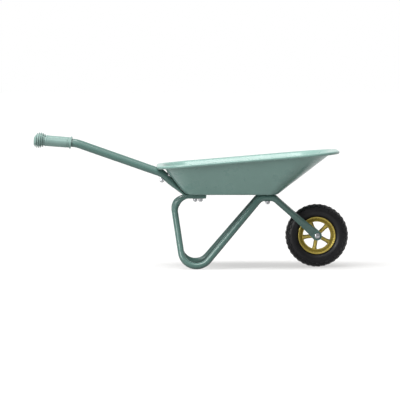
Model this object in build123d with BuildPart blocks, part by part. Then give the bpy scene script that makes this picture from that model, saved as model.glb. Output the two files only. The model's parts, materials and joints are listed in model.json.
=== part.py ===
from build123d import *
from math import asin, atan, atan2, cos, degrees, hypot, radians, sin, sqrt, tan
import os

# A child's steel wheelbarrow. X runs forward to the wheel, Y to the left as its user stands,
# and Z up from the floor. The origin is on the floor, midway along the barrow. Millimetres.

# Tray
tray_floor_rear = -16.0  # X of the rear edge of the floor
tray_floor_length = 232.8
tray_floor_width = 200.0
tray_floor_height = 186.0  # underside of the floor above the ground
tray_floor_rear_corner = 26.0
tray_floor_front_corner = 26.0
tray_rear_reach = 55.8  # how far the back wall leans out behind the floor
tray_front_reach = 142.5  # how far the front wall leans out ahead of the floor
tray_mouth_width = 338.0
tray_rear_depth = 70.5  # height of the back wall
tray_mouth_rise = 4.8  # degrees by which the mouth climbs towards the front
tray_mouth_rear_corner = 66.0
tray_mouth_front_corner = 96.0
tray_floor_blend = 9.0  # radius where the walls meet the floor
sheet_rise = 1.6  # upward distance between the outer and inner skins
lip_width = 8.0  # flat lip between the wall and the rolled bead
lip_thickness = 1.4
bead_radius = 4.0

# Tubes
tube_radius = 8.0
tube_wall = 1.2
flat_width = 22.0  # pressed tube ends under the tray
flat_thickness = 4.6
tube_inset = 20.0  # from the edge of the tray floor in to the tubes
flat_corner = 1.6  # rounding of the pressed tube's edges

# Handles
handle_splay = 3.4  # degrees by which each handle runs outwards
handle_round_run = 47.0  # along the back wall, from the pressed tube to the full round one
handle_wall_lift = 1.2  # degrees by which that stretch leans away from the back wall
handle_bead_gap = 0.6  # between the handle and the tray's rolled bead
handle_main_run = 231.0
handle_main_angle = 19.3
handle_grip_run = 101.6
handle_grip_angle = 4.6
handle_wall_bend = 40.0
handle_grip_bend = 70.0

# Legs and fork
lap_front_x = 37.0  # X of the lapped tube ends' front edge
leg_top_x = -47.5  # where the leg's line meets the tray's underside
foot_x = 12.0
foot_half_spacing = 134.0
foot_bend = 39.0
leg_bend = 35.0
saddle_setback = 7.8  # from the front edge of the tray floor back to the fork's bend
saddle_length = 34.0
leg_press_end = 0.6  # share of the leg's top bend where the tube is round
leg_press_steps = 4
fork_press_start = 0.4  # share of the fork's straight run where the tube is still round
fork_end_width = 22.0
fork_end_thickness = 8.0
fork_end_corner = 3.2

# Wheel
wheel_x = 320.0
tyre_radius = 80.0
tyre_width = 40.0
rim_radius = 47.5
rim_width = 32.0
rim_window_radius = 35.0
rim_seat_radius = 44.0
rim_flange = 2.4
rim_drum_width = 10.0
rim_web = 3.0  # thickness of the plate along each spoke
spoke_count = 5
spoke_width = 10.0
spoke_ridge_width = 5.4
spoke_depth = 12.0
spoke_start_angle = 44.0
hub_bore_gap = 1.0
hub_radius = 12.5
hub_length = 40.0
tyre_bulge_radius = 62.0  # where the sidewall is widest
tyre_tread_width = 31.0
tyre_crown = 4.5  # drop from the tread's middle to its shoulders
tyre_fit = 0.05
fork_gap = 11.7  # between the tyre's side and the fork's inner face

# Grips
grip_length = 94.0
grip_end_wall = 5.0
grip_end_radius = 10.5
grip_bulb_peak = 12.0  # from the closed end to the widest part
grip_bulb_length = 34.0
grip_wall = 3.0  # rubber over the tube along the plain body
grip_bulb_radius = 17.5
grip_flange_radius = 13.4
grip_flange_thickness = 3.4
grip_groove_count = 5
grip_groove_depth = 1.8
grip_groove_width = 2.0
grip_clearance = 0.05

# Fasteners
bolt_radius = 3.0
bolt_clearance = 0.3
bolt_head_radius = 6.5
bolt_head_height = 3.2
nut_across_flats = 10.0
nut_height = 5.0
washer_radius = 6.5
washer_thickness = 1.2
bolt_tail = 2.0  # thread showing past the nut
rear_bolt_x = 9.4
rear_bolt_gap = 0.6  # between the two washers of each lap, and spare beside the saddle's
spacer_radius = 6.0
seat_gap = 0.4  # between the handle's crown and the ring beside it
thread_fit = 0.02
drill_length = 13.0  # of the cuts that pierce the tray for its bolts
nut_chamfer = 0.8
sleeve_fit = 0.1
wall_bolt_share = 0.85  # distance along the handle's wall run, from the floor up
axle_radius = 4.0
axle_running_clearance = 0.06
axle_head_radius = 7.3
axle_head_height = 4.4
axle_nut_across_flats = 13.0
axle_nut_height = 6.5
axle_washer_radius = 9.0
axle_washer_thickness = 1.5
tab_radius = 12.0
tab_run = 15.0  # from the axle back to the crease in the fork's end
tab_thickness = 4.6
sleeve_radius = 6.5
bush_flange_radius = 9.0
bush_flange_thickness = 2.0
bush_radius = 6.0
bush_depth = 14.0
bush_fit = 0.02
side_play = 0.3

# Places worked out from the sizes above
tray_floor_front = tray_floor_rear + tray_floor_length
tray_mouth_rear = tray_floor_rear - tray_rear_reach
tray_mouth_front = tray_floor_front + tray_front_reach
tube_y = tray_floor_width / 2 - tube_inset
handle_flat_z = tray_floor_height - flat_thickness / 2
leg_flat_z = handle_flat_z - flat_thickness
saddle_z = tray_floor_height - tube_radius
fork_y = tyre_width / 2 + fork_gap + tab_thickness / 2
axle = Vector(wheel_x, 0, tyre_radius)
saddle_front_x = tray_floor_front - saddle_setback
saddle_rear_x = saddle_front_x - saddle_length
rear_bolt_pitch = 2 * washer_radius + rear_bolt_gap
lap_centre_x = rear_bolt_x + rear_bolt_pitch / 2
floor_top = tray_floor_height + sheet_rise
back_wall_angle = atan2(tray_rear_depth, tray_rear_reach)
back_wall_normal = Vector(-sin(back_wall_angle), 0, -cos(back_wall_angle))

floor_plane = Plane.XY.offset(tray_floor_height)
mouth_plane = Plane(
    origin=(tray_mouth_rear, 0, tray_floor_height + tray_rear_depth),
    x_dir=(cos(radians(tray_mouth_rise)), 0, sin(radians(tray_mouth_rise))),
    z_dir=(-sin(radians(tray_mouth_rise)), 0, cos(radians(tray_mouth_rise))),
)
mouth_length = (tray_mouth_front - tray_mouth_rear) / cos(radians(tray_mouth_rise))


os.makedirs("parts", exist_ok=True)


def save(part, name):
    """Label a finished piece and write it as its own node."""
    part.label = name
    export_step(part, f"parts/{name}.step")


def corner_rectangle(start, length, width, rear_corner, front_corner):
    """A rectangle from start forward along X, with its own radii behind and in front."""
    with BuildSketch() as outline:
        with Locations((start + length / 2, 0)):
            Rectangle(length, width)
        fillet(outline.vertices().group_by(Axis.X)[0], rear_corner)
        fillet(outline.vertices().group_by(Axis.X)[-1], front_corner)
    return outline.sketch


# ---------------------------------------------------------------- tray

def mouth_outline(grow):
    """The outline of the tray's mouth, grown outwards by grow, in the mouth plane."""
    return corner_rectangle(
        -grow,
        mouth_length + 2 * grow,
        tray_mouth_width + 2 * grow,
        tray_mouth_rear_corner + grow,
        tray_mouth_front_corner + grow,
    )


def tray_form():
    """The tray's outer form as a filled block, from the floor up to the mouth."""
    with BuildPart() as form:
        with BuildSketch(floor_plane):
            add(
                corner_rectangle(
                    tray_floor_rear,
                    tray_floor_length,
                    tray_floor_width,
                    tray_floor_rear_corner,
                    tray_floor_front_corner,
                )
            )
        with BuildSketch(mouth_plane):
            add(mouth_outline(0))
        loft(ruled=True)
        fillet(form.faces().sort_by(Axis.Z)[0].edges(), tray_floor_blend)
    return form.part


rear_bolt_xs = [rear_bolt_x, rear_bolt_x + rear_bolt_pitch]


# ---------------------------------------------------------------- tube paths

def handle_y(x):
    """The left handle's Y at a given X: it runs straight outwards towards the grip."""
    return tube_y + (lap_centre_x - x) * tan(radians(handle_splay))


def handle_point(x, z):
    """A point of the left handle's centre line, from its X and Z."""
    return Vector(x, handle_y(x), z)


def step_back(point, run, angle):
    """The X and Z reached by going back and up from a point for a run at an angle."""
    return (point[0] - run * cos(radians(angle)), point[1] + run * sin(radians(angle)))


# The pressed tube rounds out no faster than the handle's line leaves the back wall.
handle_round_angle = atan((tube_radius - flat_thickness / 2) / handle_round_run)
handle_wall_angle = degrees(back_wall_angle - handle_round_angle) - handle_wall_lift

corner_bend = tray_floor_blend + flat_thickness / 2
corner_centre_x = tray_floor_rear + tray_floor_blend * tan(back_wall_angle / 2)
corner_x = corner_centre_x - corner_bend * tan(radians(handle_wall_angle) / 2)
handle_corner = (corner_x, handle_flat_z)

# The main run passes just under the tray's rolled bead, which sets where the wall run ends.
bead_x = tray_mouth_rear - (lip_width + bead_radius) * cos(radians(tray_mouth_rise))
bead_z = tray_floor_height + tray_rear_depth - (lip_width + bead_radius) * sin(radians(tray_mouth_rise))
bead_height = (bead_x - handle_corner[0]) * sin(radians(handle_main_angle)) + (
    bead_z - handle_corner[1]
) * cos(radians(handle_main_angle))
bead_reach = bead_height - tube_radius - bead_radius - handle_bead_gap
handle_wall_run = bead_reach / sin(radians(handle_wall_angle - handle_main_angle))
handle_wall_top = step_back(handle_corner, handle_wall_run, handle_wall_angle)
handle_grip_start = step_back(handle_wall_top, handle_main_run, handle_main_angle)
handle_end = step_back(handle_grip_start, handle_grip_run, handle_grip_angle)

with BuildLine() as handle_path:
    FilletPolyline(
        handle_point(lap_front_x, handle_flat_z),
        handle_point(*handle_corner),
        handle_point(*handle_wall_top),
        handle_point(*handle_grip_start),
        handle_point(*handle_end),
        radius=[corner_bend, handle_wall_bend, handle_grip_bend],
    )

# The leg and the stay in front of it lie in one plane that leans outwards, hung from the
# tray's underside. In it, drop is measured down the lean.
lean = atan((foot_half_spacing - tube_y) / (saddle_z - tube_radius))
foot_drop = (saddle_z - tube_radius) / cos(lean) - foot_bend


def tangent_angle(run):
    """Base angle of the line from a top corner, run away, that passes under the foot bend."""
    return atan2(foot_drop, run) + asin(foot_bend / hypot(foot_drop, run))


leg_angle = tangent_angle(foot_x - leg_top_x)
stay_angle = tangent_angle(saddle_rear_x - foot_x)
apex_drop = (saddle_rear_x - leg_top_x) / (1 / tan(leg_angle) + 1 / tan(stay_angle))
apex_x = leg_top_x + apex_drop / tan(leg_angle)
apex = Vector(apex_x, tube_y + apex_drop * sin(lean), saddle_z - apex_drop * cos(lean))

axle_left = axle + Vector(0, fork_y, 0)
saddle_front = Vector(saddle_front_x, tube_y, saddle_z)
fork_fall = (Vector(axle.X, tube_y, axle.Z) - saddle_front).normalized()
tab_start = axle_left - fork_fall * tab_run

# The saddle's two bends leave a straight seat between them for the washer and the nut.
saddle_seat = 2 * washer_radius + rear_bolt_gap
stay_turn = tan(stay_angle / 2)
fork_turn = tan(radians(Vector(1, 0, 0).get_angle(tab_start - saddle_front)) / 2)
saddle_bend = (saddle_length - saddle_seat) / (stay_turn + fork_turn)
saddle_bolt_x = saddle_rear_x + saddle_bend * stay_turn + saddle_seat / 2

with BuildLine() as frame_path:
    FilletPolyline(
        (lap_front_x, tube_y, leg_flat_z),
        (leg_top_x, tube_y, leg_flat_z),
        apex,
        (saddle_rear_x, tube_y, saddle_z),
        saddle_front,
        tab_start,
        radius=[leg_bend, foot_bend, saddle_bend, saddle_bend],
    )


def section_plane(edge, share, level):
    """The plane across an edge at a share of its length, its x direction nearest to level."""
    ahead = edge % share
    return Plane(origin=edge @ share, x_dir=level - ahead * level.dot(ahead), z_dir=ahead)


def round_tube(edges):
    """Hollow round tube along a chain of edges."""
    with BuildPart() as tube:
        with BuildSketch(Plane(origin=edges[0] @ 0, z_dir=edges[0] % 0)):
            Circle(tube_radius)
            Circle(tube_radius - tube_wall, mode=Mode.SUBTRACT)
        sweep(path=Wire(edges))
    return tube.part


def pressed_tube(edge, level, start, finish, steps):
    """Tube that changes along an edge from one width and height to another.

    start and finish hold the width, the height and the corner radius of the section.
    """
    shapes = []
    for inset in (0, tube_wall):
        with BuildPart() as shape:
            for step in range(steps + 1):
                share = step / steps
                width, height, corner = (a + (b - a) * share for a, b in zip(start, finish))
                with BuildSketch(section_plane(edge, share, level)):
                    if height > 2 * tube_radius - tube_wall:
                        Circle(tube_radius - inset)
                    else:
                        RectangleRounded(
                            width - 2 * inset, height - 2 * inset, max(corner - inset, corner / 4)
                        )
            loft(ruled=steps == 1)
        shapes.append(shape.part)
    return shapes[0] - shapes[1]


def flat_strip(edges, level):
    """Tube pressed flat along a chain of edges."""
    with BuildPart() as strip:
        with BuildSketch(section_plane(edges[0], 0, level)):
            RectangleRounded(flat_width, flat_thickness, flat_corner)
        sweep(path=Wire(edges))
    return strip.part


# ---------------------------------------------------------------- fasteners

def dome_bolt(seat, grip, radius, head_radius, head_height, tail):
    """A bolt whose domed head sits on the seat plane and whose shank runs back by grip and tail."""
    with BuildPart() as bolt:
        with BuildSketch(seat.offset(-(grip + tail))):
            Circle(radius)
        extrude(amount=grip + tail)
        with BuildSketch(Plane(seat.origin, x_dir=seat.x_dir, z_dir=-seat.y_dir)):
            with BuildLine():
                Line((0, head_height), (0, 0))
                Line((0, 0), (head_radius, 0))
                Line((head_radius, 0), (head_radius, head_height / 4))
                Spline(
                    (head_radius, head_height / 4),
                    (0, head_height),
                    tangents=[(-0.3, 1), (-1, 0)],
                )
            make_face()
        revolve(axis=Axis(seat.origin, seat.z_dir))
    return bolt.part


def hex_nut(top, across_flats, height, hole_radius):
    """A chamfered hexagon nut hanging below the top plane."""
    with BuildPart() as nut:
        with BuildSketch(top.offset(-height)):
            RegularPolygon(across_flats / 2, 6, major_radius=False)
        extrude(amount=height)
        with BuildSketch(top.offset(-height)):
            Circle(across_flats / sqrt(3) - nut_chamfer / 2)
        extrude(amount=height, mode=Mode.INTERSECT)
        with BuildSketch(top.offset(-height)):
            Circle(hole_radius)
        extrude(amount=height, mode=Mode.SUBTRACT)
    return nut.part


def ring(top, outer_radius, inner_radius, height):
    """A washer, spacer or sleeve hanging below the top plane."""
    with BuildPart() as band:
        with BuildSketch(top.offset(-height)):
            Circle(outer_radius)
            Circle(inner_radius, mode=Mode.SUBTRACT)
        extrude(amount=height)
    return band.part


def fasten(name, side, seat, stack):
    """Write one M6 bolt, its washer and its nut, clamping a stack below the seat plane."""
    tail = washer_thickness + nut_height + bolt_tail
    bolt = dome_bolt(seat, stack, bolt_radius, bolt_head_radius, bolt_head_height, tail)
    washer = ring(seat.offset(-stack), washer_radius, bolt_radius + bolt_clearance, washer_thickness)
    nut = hex_nut(
        seat.offset(-stack - washer_thickness), nut_across_flats, nut_height, bolt_radius + thread_fit
    )
    for part, kind in ((bolt, "bolt"), (washer, "washer"), (nut, "nut")):
        save(part, f"{name}_{kind}_{side}")


# Where the wall bolt crosses the left handle, and the same axis on the back wall's outer skin
wall_bolt_point = handle_point(
    *step_back(handle_corner, wall_bolt_share * handle_wall_run, handle_wall_angle)
)
wall_gap = (wall_bolt_point - Vector(tray_floor_rear, 0, tray_floor_height)).dot(back_wall_normal)
wall_thickness = sheet_rise * cos(back_wall_angle)
tube_tilt = radians(handle_wall_angle) - back_wall_angle
tube_crest = tube_radius / cos(tube_tilt) + washer_radius * abs(tan(tube_tilt)) + seat_gap
spacer_length = wall_gap - tube_crest


def wall_seat(point):
    """The plane on the tray's inner skin under the head of the bolt through a handle."""
    skin = point - back_wall_normal * (wall_gap + wall_thickness)
    return Plane(skin, x_dir=(0, 1, 0), z_dir=-back_wall_normal)


# ---------------------------------------------------------------- build: tray

sides = {"left": 1, "right": -1}
rear_places = [(x, side * tube_y) for x in rear_bolt_xs for side in sides.values()]
saddle_places = [(saddle_bolt_x, side * tube_y) for side in sides.values()]

with BuildPart() as tray:
    add(tray_form())
    add(tray_form().moved(Location((0, 0, sheet_rise))), mode=Mode.SUBTRACT)
    with BuildSketch(mouth_plane.offset(-lip_thickness)):
        add(mouth_outline(lip_width + bead_radius))
        add(mouth_outline(-sheet_rise / 2), mode=Mode.SUBTRACT)
    extrude(amount=lip_thickness)
    bead_run = mouth_plane.location * mouth_outline(lip_width + bead_radius)
    bead_wire = bead_run.faces()[0].outer_wire()
    with BuildSketch(Plane(origin=bead_wire @ 0, z_dir=bead_wire % 0)):
        Circle(bead_radius)
    sweep(path=bead_wire)
    for x, y in rear_places + saddle_places:
        with Locations((x, y, tray_floor_height)):
            Cylinder(bolt_radius + bolt_clearance, drill_length, mode=Mode.SUBTRACT)
    for side in sides.values():
        spot = wall_seat(Vector(wall_bolt_point.X, side * wall_bolt_point.Y, wall_bolt_point.Z))
        with BuildSketch(spot.offset(-drill_length / 2)):
            Circle(bolt_radius + bolt_clearance)
        extrude(amount=drill_length, mode=Mode.SUBTRACT)
save(tray.part, "tray")

# ---------------------------------------------------------------- build: tubes

lap, corner_arc, wall_run, wall_arc, main_run, grip_arc, grip_run = handle_path.wire().order_edges()
across = Vector(sin(radians(handle_splay)), cos(radians(handle_splay)), 0)
press_end = handle_round_run / wall_run.length
flat_section = (flat_width, flat_thickness, flat_corner)
round_section = (2 * tube_radius, 2 * tube_radius, tube_radius)

with BuildPart() as handle_left:
    add(flat_strip([lap, corner_arc], across))
    add(pressed_tube(wall_run.trim(0, press_end), across, flat_section, round_section, steps=1))
    add(round_tube([wall_run.trim(press_end, 1), wall_arc, main_run, grip_arc, grip_run]))
    for x in rear_bolt_xs:
        with Locations((x, tube_y, handle_flat_z)):
            Cylinder(bolt_radius + bolt_clearance, 2 * flat_thickness, mode=Mode.SUBTRACT)
    with BuildSketch(wall_seat(wall_bolt_point)):
        Circle(bolt_radius + bolt_clearance)
    extrude(amount=-(wall_gap + 2 * tube_crest), mode=Mode.SUBTRACT)

top_run, leg_arc, leg, foot_arc, stay, stay_arc, saddle, fork_arc, fork = frame_path.wire().order_edges()
level = Vector(0, 1, 0)

# The leg's tube stays flat until the handle above it has lifted off.
leg_flat_run = (leg_arc @ 0).X - (corner_arc @ 0).X
leg_press_start = asin(leg_flat_run / leg_bend) * leg_bend / leg_arc.length
leg_flat_arc = leg_arc.trim(0, leg_press_start)
leg_press_arc = leg_arc.trim(leg_press_start, leg_press_end)

with BuildPart() as frame_left:
    add(flat_strip([top_run], level))
    add(pressed_tube(leg_flat_arc, level, flat_section, flat_section, steps=1))
    add(pressed_tube(leg_press_arc, level, flat_section, round_section, leg_press_steps))
    add(
        round_tube(
            [leg_arc.trim(leg_press_end, 1), leg, foot_arc, stay, stay_arc, saddle, fork_arc]
            + [fork.trim(0, fork_press_start)]
        )
    )
    fork_up = Vector(fork_fall.Z, 0, -fork_fall.X)
    add(
        pressed_tube(
            fork.trim(fork_press_start, 1),
            fork_up,
            round_section,
            (fork_end_width, fork_end_thickness, fork_end_corner),
            steps=1,
        )
    )
    tab_plane = Plane(axle_left - Vector(0, tab_thickness / 2, 0), x_dir=fork_fall, z_dir=(0, 1, 0))
    with BuildSketch(tab_plane):
        Circle(tab_radius)
        with Locations((-tab_run / 2, 0)):
            Rectangle(tab_run, 2 * tab_radius)
    extrude(amount=tab_thickness)
    with BuildSketch(tab_plane):
        Circle(axle_radius + bolt_clearance)
    extrude(amount=tab_thickness, mode=Mode.SUBTRACT)
    for x in rear_bolt_xs:
        with Locations((x, tube_y, leg_flat_z)):
            Cylinder(bolt_radius + bolt_clearance, 2 * flat_thickness, mode=Mode.SUBTRACT)
    with Locations((saddle_bolt_x, tube_y, saddle_z)):
        Cylinder(bolt_radius + bolt_clearance, 4 * tube_radius, mode=Mode.SUBTRACT)

# ---------------------------------------------------------------- build: grips

tube_end = grip_run @ 1
grip_ahead = grip_run % 1
grip_plane = Plane(
    tube_end + grip_ahead * grip_end_wall,
    x_dir=-grip_ahead,
    z_dir=grip_ahead.cross(across),
)
bore = tube_radius + grip_clearance
body_radius = tube_radius + grip_wall

with BuildPart() as grip_left:
    with BuildSketch(grip_plane) as section:
        with BuildLine():
            Line((0, 0), (0, grip_end_radius))
            bulb = Spline(
                (0, grip_end_radius),
                (grip_bulb_peak, grip_bulb_radius),
                (grip_bulb_length, body_radius),
                tangents=[(0.6, 1), (1, -0.1)],
            )
            Line((grip_bulb_length, body_radius), (grip_length - grip_flange_thickness, body_radius))
            Line(
                (grip_length - grip_flange_thickness, body_radius),
                (grip_length - grip_flange_thickness, grip_flange_radius),
            )
            Line(
                (grip_length - grip_flange_thickness, grip_flange_radius),
                (grip_length, grip_flange_radius),
            )
            Line((grip_length, grip_flange_radius), (grip_length, bore))
            Line((grip_length, bore), (grip_end_wall, bore))
            Line((grip_end_wall, bore), (grip_end_wall, 0))
            Line((grip_end_wall, 0), (0, 0))
        make_face()
        for groove in range(grip_groove_count):
            share = (groove + 1) / (grip_groove_count + 1)
            with Locations(bulb @ share):
                Rectangle(grip_groove_width, 2 * grip_groove_depth, mode=Mode.SUBTRACT)
    revolve(axis=Axis(grip_plane.origin, grip_ahead))

for part, name in ((handle_left, "handle_tube"), (frame_left, "frame_tube"), (grip_left, "grip")):
    save(part.part, f"{name}_left")
    with BuildPart() as mirrored:
        mirror(part.part, about=Plane.XZ)
    save(mirrored.part, f"{name}_right")

# ---------------------------------------------------------------- build: bolts, washers, nuts

for side, sign in sides.items():
    for place, x in zip(("back", "front"), rear_bolt_xs):
        seat = Plane((x, sign * tube_y, floor_top))
        fasten(f"lap_{place}", side, seat, sheet_rise + 2 * flat_thickness)
    fasten(
        "saddle",
        side,
        Plane((saddle_bolt_x, sign * tube_y, floor_top)),
        sheet_rise + 2 * tube_radius,
    )
    point = Vector(wall_bolt_point.X, sign * wall_bolt_point.Y, wall_bolt_point.Z)
    seat = wall_seat(point)
    fasten("wall", side, seat, wall_thickness + wall_gap + tube_crest)
    spacer = ring(
        seat.offset(-wall_thickness), spacer_radius, bolt_radius + bolt_clearance, spacer_length
    )
    save(spacer, f"wall_spacer_{side}")

# ---------------------------------------------------------------- build: axle set

outside_right = Plane(
    axle - Vector(0, fork_y + tab_thickness / 2, 0), x_dir=(1, 0, 0), z_dir=(0, -1, 0)
)
fork_outer = 2 * fork_y + tab_thickness
axle_bolt = dome_bolt(
    outside_right,
    fork_outer,
    axle_radius,
    axle_head_radius,
    axle_head_height,
    axle_washer_thickness + axle_nut_height + bolt_tail,
)
save(axle_bolt, "axle_bolt")
washer_seat = outside_right.offset(-fork_outer)
save(
    ring(washer_seat, axle_washer_radius, axle_radius + bolt_clearance, axle_washer_thickness),
    "axle_washer",
)
save(
    hex_nut(
        washer_seat.offset(-axle_washer_thickness),
        axle_nut_across_flats,
        axle_nut_height,
        axle_radius + thread_fit,
    ),
    "axle_nut",
)

fork_inner_y = fork_y - tab_thickness / 2
bush_face_y = hub_length / 2 + bush_flange_thickness
for side, sign in sides.items():
    inner_face = Plane(axle + Vector(0, sign * fork_inner_y, 0), x_dir=(1, 0, 0), z_dir=(0, sign, 0))
    sleeve_length = fork_inner_y - bush_face_y - side_play
    save(ring(inner_face, sleeve_radius, axle_radius + sleeve_fit, sleeve_length), f"sleeve_{side}")
    hub_face = Plane(
        axle + Vector(0, sign * bush_face_y, 0), x_dir=(1, 0, 0), z_dir=(0, sign, 0)
    )
    with BuildPart() as bush:
        with BuildSketch(hub_face.offset(-bush_flange_thickness)):
            Circle(bush_flange_radius)
        extrude(amount=bush_flange_thickness)
        with BuildSketch(hub_face.offset(-bush_flange_thickness - bush_depth)):
            Circle(bush_radius)
        extrude(amount=bush_depth)
        with BuildSketch(hub_face):
            Circle(axle_radius + axle_running_clearance)
        extrude(amount=-(bush_flange_thickness + bush_depth), mode=Mode.SUBTRACT)
    save(bush.part, f"hub_bush_{side}")

# ---------------------------------------------------------------- build: rim

wheel_section = Plane(axle, x_dir=(0, 1, 0), z_dir=(1, 0, 0))
wheel_axis = Axis(axle, (0, 1, 0))
wheel_face = Plane(axle, x_dir=(1, 0, 0), z_dir=(0, -1, 0))
half_rim = rim_width / 2

with BuildPart() as rim:
    with BuildSketch(wheel_section):
        with BuildLine():
            Polyline(
                (half_rim, rim_radius),
                (half_rim - rim_flange, rim_radius),
                (half_rim - rim_flange, rim_seat_radius),
                (-half_rim + rim_flange, rim_seat_radius),
                (-half_rim + rim_flange, rim_radius),
                (-half_rim, rim_radius),
                (-half_rim, rim_radius - rim_flange),
                (-rim_drum_width / 2, rim_window_radius),
                (rim_drum_width / 2, rim_window_radius),
                (half_rim, rim_radius - rim_flange),
                close=True,
            )
        make_face()
    revolve(axis=wheel_axis)
    with BuildSketch(wheel_face.offset(-hub_length / 2)):
        Circle(hub_radius)
    extrude(amount=hub_length)
    for width, depth in ((spoke_width, rim_web), (spoke_ridge_width, spoke_depth)):
        with BuildSketch(wheel_face.offset(-depth / 2)):
            with PolarLocations(
                rim_window_radius / 2, spoke_count, start_angle=spoke_start_angle
            ):
                Rectangle(rim_window_radius + 2 * rim_web, width)
        extrude(amount=depth)
    with BuildSketch(wheel_face.offset(-hub_length / 2)):
        Circle(axle_radius + hub_bore_gap)
    extrude(amount=hub_length, mode=Mode.SUBTRACT)
    for sign in sides.values():
        mouth = Plane(
            axle + Vector(0, sign * hub_length / 2, 0), x_dir=(1, 0, 0), z_dir=(0, sign, 0)
        )
        with BuildSketch(mouth):
            Circle(bush_radius + bush_fit)
        extrude(amount=-bush_depth, mode=Mode.SUBTRACT)
save(rim.part, "rim")

# ---------------------------------------------------------------- build: tyre

tyre_seat = rim_seat_radius + tyre_fit
bead_half = half_rim - rim_flange - tyre_fit

with BuildPart() as tyre:
    with BuildSketch(wheel_section):
        with BuildLine():
            Line((-bead_half, tyre_seat), (bead_half, tyre_seat))
            Line((bead_half, tyre_seat), (bead_half, rim_radius + tyre_fit))
            Spline(
                (bead_half, rim_radius + tyre_fit),
                (tyre_width / 2, tyre_bulge_radius),
                (tyre_tread_width / 2, tyre_radius - tyre_crown),
            )
            ThreePointArc(
                (tyre_tread_width / 2, tyre_radius - tyre_crown),
                (0, tyre_radius),
                (-tyre_tread_width / 2, tyre_radius - tyre_crown),
            )
            Spline(
                (-tyre_tread_width / 2, tyre_radius - tyre_crown),
                (-tyre_width / 2, tyre_bulge_radius),
                (-bead_half, rim_radius + tyre_fit),
            )
            Line((-bead_half, rim_radius + tyre_fit), (-bead_half, tyre_seat))
        make_face()
    revolve(axis=wheel_axis)
save(tyre.part, "tyre")
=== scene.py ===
"""Looks of a child's steel wheelbarrow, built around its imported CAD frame.

Lengths are in metres. X runs forward from the grips to the wheel, Y to the left of the
user and Z up from the floor, as in the CAD frame.
"""

import json
import logging
import math
from collections.abc import Callable, Iterator, Sequence
from contextlib import contextmanager
from dataclasses import dataclass
from enum import Enum

import bmesh
import bpy
from mathutils import Matrix, Vector


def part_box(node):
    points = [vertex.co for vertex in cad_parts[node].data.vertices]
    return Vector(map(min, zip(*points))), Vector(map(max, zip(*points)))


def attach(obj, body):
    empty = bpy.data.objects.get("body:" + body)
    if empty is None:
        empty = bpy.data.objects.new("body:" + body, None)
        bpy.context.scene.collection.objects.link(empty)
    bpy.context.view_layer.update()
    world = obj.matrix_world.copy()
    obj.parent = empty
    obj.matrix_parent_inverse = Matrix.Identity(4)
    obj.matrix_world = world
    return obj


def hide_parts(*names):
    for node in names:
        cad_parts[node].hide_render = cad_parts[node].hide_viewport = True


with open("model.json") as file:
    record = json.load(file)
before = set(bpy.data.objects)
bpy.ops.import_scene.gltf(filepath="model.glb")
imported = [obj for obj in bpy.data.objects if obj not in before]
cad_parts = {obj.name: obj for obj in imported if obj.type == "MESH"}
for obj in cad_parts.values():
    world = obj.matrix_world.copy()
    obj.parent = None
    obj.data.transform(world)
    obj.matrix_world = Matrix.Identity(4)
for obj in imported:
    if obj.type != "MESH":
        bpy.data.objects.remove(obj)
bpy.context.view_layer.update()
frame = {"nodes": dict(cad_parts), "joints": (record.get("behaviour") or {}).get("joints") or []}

logging.basicConfig(level=logging.INFO, format="%(message)s")
log = logging.getLogger("wheelbarrow")

Material = bpy.types.Material
Socket = bpy.types.NodeSocket
Pair = tuple[float, float]
Triple = tuple[float, float, float]
Profile = list[Pair]

MM = 0.001
WELD_GAP = 0.01 * MM
JOIN_GAP = 0.06 * MM
PLACE_GAP = 0.1 * MM
OUTLINE_GAP = 0.3 * MM


class Body(Enum):
    """The two bodies of the barrow that move against each other."""

    FRAME = "frame"
    WHEEL = "wheel"


class Side(Enum):
    """The barrow's two sides, as its user sees them."""

    LEFT = 1
    RIGHT = -1

    @property
    def label(self) -> str:
        """The side's name in node names."""
        return self.name.lower()


# ---- modelling bench


def deselect_all() -> None:
    """Leave no object selected, so that an operator acts only on the new piece."""
    bpy.ops.object.select_all(action="DESELECT")


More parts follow.
